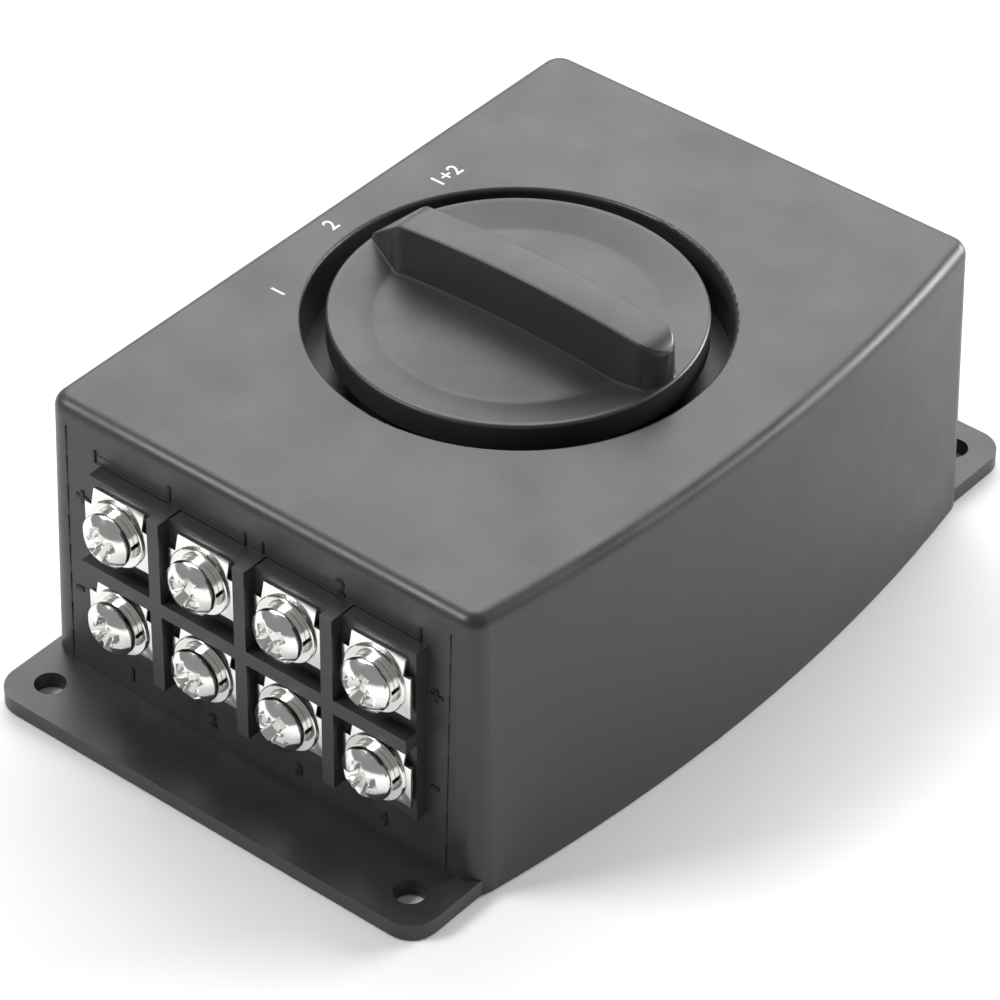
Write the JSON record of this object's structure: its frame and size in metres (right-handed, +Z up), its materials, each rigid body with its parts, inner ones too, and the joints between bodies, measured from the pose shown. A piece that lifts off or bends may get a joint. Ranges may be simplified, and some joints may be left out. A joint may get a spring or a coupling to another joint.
{
  "type": "rotary speaker selector switch",
  "caption": "Surface-mounted speaker selector box: black flanged housing, recessed rotary knob with a grip bar, and rows of screw terminals with clamp plates on both ends.",
  "frame": {"origin": "on the base plane, midway between the four mounting holes", "axes": "+Z up from the base towards the knob, -Y towards the front wall with the speaker terminals, +Y towards the rear wall, +X towards the bowed side, which is on the right as seen from the front"},
  "size_m": [0.0813, 0.1334, 0.0549],
  "materials": {
    "housing_plastic": "finely grained black moulded plastic",
    "knob_plastic": "smooth satin black moulded plastic",
    "nickel_plate": "bright nickel plate",
    "plated_steel": "zinc-plated steel",
    "spring_steel": "plain spring steel",
    "brass": "machined brass",
    "silvered_brass": "silver-plated brass",
    "board": "brown phenolic board",
    "nylon": "natural nylon",
    "front_wire": "red wire insulation",
    "rear_wire": "blue wire insulation"
  },
  "bodies": {
    "base": {"housing": "housing_plastic", "bottom_cover": "housing_plastic", "cover_screws": "plated_steel", "terminal_inserts": "brass", "switch_frame": "plated_steel", "panel_nut": "plated_steel", "lock_washer": "plated_steel", "stop_pins": "plated_steel", "detent_spring": "spring_steel", "spacer_tubes": "brass", "through_screws": "plated_steel", "stator_wafer": "board", "fixed_contacts": "silvered_brass", "front_wires": "front_wire", "rear_wires": "rear_wire"},
    "selector": {"knob": "knob_plastic", "knob_clip": "spring_steel", "shaft": "plated_steel", "detent_wheel": "nylon", "rotor_disc": "nylon", "rotor_contacts": "silvered_brass", "retaining_clip": "spring_steel"},
    "terminal_clamp_1": {"terminal_clamp_1": "nickel_plate"},
    "terminal_screw_1": {"terminal_screw_1": "nickel_plate"},
    "terminal_clamp_2": {"terminal_clamp_2": "nickel_plate"},
    "terminal_screw_2": {"terminal_screw_2": "nickel_plate"},
    "terminal_clamp_3": {"terminal_clamp_3": "nickel_plate"},
    "terminal_screw_3": {"terminal_screw_3": "nickel_plate"},
    "terminal_clamp_4": {"terminal_clamp_4": "nickel_plate"},
    "terminal_screw_4": {"terminal_screw_4": "nickel_plate"},
    "terminal_clamp_5": {"terminal_clamp_5": "nickel_plate"},
    "terminal_screw_5": {"terminal_screw_5": "nickel_plate"},
    "terminal_clamp_6": {"terminal_clamp_6": "nickel_plate"},
    "terminal_screw_6": {"terminal_screw_6": "nickel_plate"},
    "terminal_clamp_7": {"terminal_clamp_7": "nickel_plate"},
    "terminal_screw_7": {"terminal_screw_7": "nickel_plate"},
    "terminal_clamp_8": {"terminal_clamp_8": "nickel_plate"},
    "terminal_screw_8": {"terminal_screw_8": "nickel_plate"},
    "terminal_clamp_9": {"terminal_clamp_9": "nickel_plate"},
    "terminal_screw_9": {"terminal_screw_9": "nickel_plate"},
    "terminal_clamp_10": {"terminal_clamp_10": "nickel_plate"},
    "terminal_screw_10": {"terminal_screw_10": "nickel_plate"},
    "terminal_clamp_11": {"terminal_clamp_11": "nickel_plate"},
    "terminal_screw_11": {"terminal_screw_11": "nickel_plate"},
    "terminal_clamp_12": {"terminal_clamp_12": "nickel_plate"},
    "terminal_screw_12": {"terminal_screw_12": "nickel_plate"}
  },
  "joints": [
    {"name": "knob_turn", "type": "hinge", "parent": "base", "child": "selector", "pos_m": [0, 0, 0.038], "axis": [0, 0, 1], "range_deg": [-30, 30], "deforming": ["detent_spring"]},
    {"name": "terminal_clamp_1_slide", "type": "slide", "parent": "base", "child": "terminal_clamp_1", "axis": [0, -1, 0], "range_m": [0, 0.0021]},
    {"name": "terminal_screw_1_turn", "type": "hinge", "parent": "terminal_clamp_1", "child": "terminal_screw_1", "pos_m": [-0.0212, -0.0564, 0.0326], "axis": [0, -1, 0], "range_deg": [0, 1080]},
    {"name": "terminal_clamp_2_slide", "type": "slide", "parent": "base", "child": "terminal_clamp_2", "axis": [0, -1, 0], "range_m": [0, 0.0021]},
    {"name": "terminal_screw_2_turn", "type": "hinge", "parent": "terminal_clamp_2", "child": "terminal_screw_2", "pos_m": [-0.0062, -0.0564, 0.0326], "axis": [0, -1, 0], "range_deg": [0, 1080]},
    {"name": "terminal_clamp_3_slide", "type": "slide", "parent": "base", "child": "terminal_clamp_3", "axis": [0, -1, 0], "range_m": [0, 0.0021]},
    {"name": "terminal_screw_3_turn", "type": "hinge", "parent": "terminal_clamp_3", "child": "terminal_screw_3", "pos_m": [0.0088, -0.0564, 0.0326], "axis": [0, -1, 0], "range_deg": [0, 1080]},
    {"name": "terminal_clamp_4_slide", "type": "slide", "parent": "base", "child": "terminal_clamp_4", "axis": [0, -1, 0], "range_m": [0, 0.0021]},
    {"name": "terminal_screw_4_turn", "type": "hinge", "parent": "terminal_clamp_4", "child": "terminal_screw_4", "pos_m": [0.0238, -0.0564, 0.0326], "axis": [0, -1, 0], "range_deg": [0, 1080]},
    {"name": "terminal_clamp_5_slide", "type": "slide", "parent": "base", "child": "terminal_clamp_5", "axis": [0, -1, 0], "range_m": [0, 0.0021]},
    {"name": "terminal_screw_5_turn", "type": "hinge", "parent": "terminal_clamp_5", "child": "terminal_screw_5", "pos_m": [-0.0212, -0.0564, 0.0174], "axis": [0, -1, 0], "range_deg": [0, 1080]},
    {"name": "terminal_clamp_6_slide", "type": "slide", "parent": "base", "child": "terminal_clamp_6", "axis": [0, -1, 0], "range_m": [0, 0.0021]},
    {"name": "terminal_screw_6_turn", "type": "hinge", "parent": "terminal_clamp_6", "child": "terminal_screw_6", "pos_m": [-0.0062, -0.0564, 0.0174], "axis": [0, -1, 0], "range_deg": [0, 1080]},
    {"name": "terminal_clamp_7_slide", "type": "slide", "parent": "base", "child": "terminal_clamp_7", "axis": [0, -1, 0], "range_m": [0, 0.0021]},
    {"name": "terminal_screw_7_turn", "type": "hinge", "parent": "terminal_clamp_7", "child": "terminal_screw_7", "pos_m": [0.0088, -0.0564, 0.0174], "axis": [0, -1, 0], "range_deg": [0, 1080]},
    {"name": "terminal_clamp_8_slide", "type": "slide", "parent": "base", "child": "terminal_clamp_8", "axis": [0, -1, 0], "range_m": [0, 0.0021]},
    {"name": "terminal_screw_8_turn", "type": "hinge", "parent": "terminal_clamp_8", "child": "terminal_screw_8", "pos_m": [0.0238, -0.0564, 0.0174], "axis": [0, -1, 0], "range_deg": [0, 1080]},
    {"name": "terminal_clamp_9_slide", "type": "slide", "parent": "base", "child": "terminal_clamp_9", "axis": [0, 1, 0], "range_m": [0, 0.0021]},
    {"name": "terminal_screw_9_turn", "type": "hinge", "parent": "terminal_clamp_9", "child": "terminal_screw_9", "pos_m": [-0.0075, 0.0564, 0.0326], "axis": [0, 1, 0], "range_deg": [0, 1080]},
    {"name": "terminal_clamp_10_slide", "type": "slide", "parent": "base", "child": "terminal_clamp_10", "axis": [0, 1, 0], "range_m": [0, 0.0021]},
    {"name": "terminal_screw_10_turn", "type": "hinge", "parent": "terminal_clamp_10", "child": "terminal_screw_10", "pos_m": [0.0075, 0.0564, 0.0326], "axis": [0, 1, 0], "range_deg": [0, 1080]},
    {"name": "terminal_clamp_11_slide", "type": "slide", "parent": "base", "child": "terminal_clamp_11", "axis": [0, 1, 0], "range_m": [0, 0.0021]},
    {"name": "terminal_screw_11_turn", "type": "hinge", "parent": "terminal_clamp_11", "child": "terminal_screw_11", "pos_m": [-0.0075, 0.0564, 0.0174], "axis": [0, 1, 0], "range_deg": [0, 1080]},
    {"name": "terminal_clamp_12_slide", "type": "slide", "parent": "base", "child": "terminal_clamp_12", "axis": [0, 1, 0], "range_m": [0, 0.0021]},
    {"name": "terminal_screw_12_turn", "type": "hinge", "parent": "terminal_clamp_12", "child": "terminal_screw_12", "pos_m": [0.0075, 0.0564, 0.0174], "axis": [0, 1, 0], "range_deg": [0, 1080]}
  ],
  "couplings": [
    {"joint": "terminal_screw_1_turn", "follows": "terminal_clamp_1_slide", "rad_per_m": 8976},
    {"joint": "terminal_screw_2_turn", "follows": "terminal_clamp_2_slide", "rad_per_m": 8976},
    {"joint": "terminal_screw_3_turn", "follows": "terminal_clamp_3_slide", "rad_per_m": 8976},
    {"joint": "terminal_screw_4_turn", "follows": "terminal_clamp_4_slide", "rad_per_m": 8976},
    {"joint": "terminal_screw_5_turn", "follows": "terminal_clamp_5_slide", "rad_per_m": 8976},
    {"joint": "terminal_screw_6_turn", "follows": "terminal_clamp_6_slide", "rad_per_m": 8976},
    {"joint": "terminal_screw_7_turn", "follows": "terminal_clamp_7_slide", "rad_per_m": 8976},
    {"joint": "terminal_screw_8_turn", "follows": "terminal_clamp_8_slide", "rad_per_m": 8976},
    {"joint": "terminal_screw_9_turn", "follows": "terminal_clamp_9_slide", "rad_per_m": 8976},
    {"joint": "terminal_screw_10_turn", "follows": "terminal_clamp_10_slide", "rad_per_m": 8976},
    {"joint": "terminal_screw_11_turn", "follows": "terminal_clamp_11_slide", "rad_per_m": 8976},
    {"joint": "terminal_screw_12_turn", "follows": "terminal_clamp_12_slide", "rad_per_m": 8976}
  ]
}
